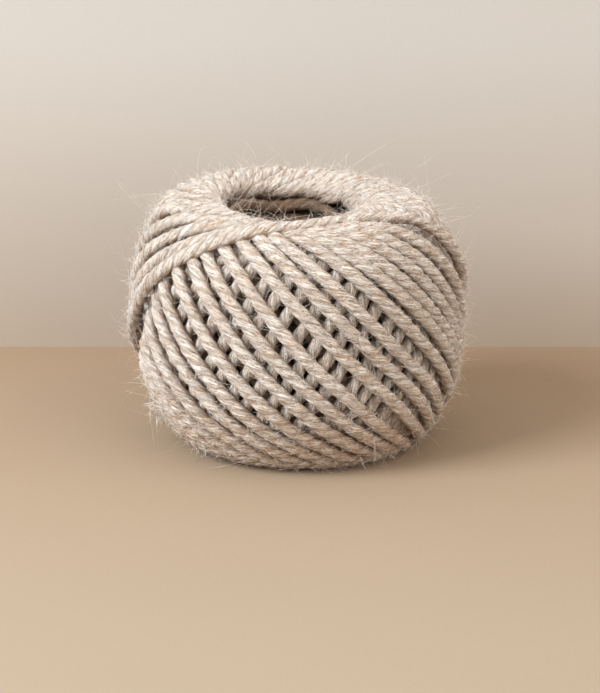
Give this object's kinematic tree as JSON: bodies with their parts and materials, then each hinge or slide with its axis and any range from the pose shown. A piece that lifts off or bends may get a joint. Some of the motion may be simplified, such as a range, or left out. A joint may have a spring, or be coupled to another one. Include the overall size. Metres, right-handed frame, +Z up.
{
  "type": "ball of string",
  "caption": "Round ball of natural jute twine wound in slanting turns, with an open centre hole and a small flat underside to rest on.",
  "frame": {"origin": "centre of the bounding box, on the surface that the ball rests on", "axes": "+Z up along the centre hole, -Y towards the viewer of the picture, +X to the viewer's right"},
  "size_m": [0.0918, 0.09, 0.0711],
  "materials": {
    "natural_jute": "rough, hairy plant fibre"
  },
  "bodies": {
    "root": {"twine_ball": "natural_jute"}
  },
  "joints": []
}
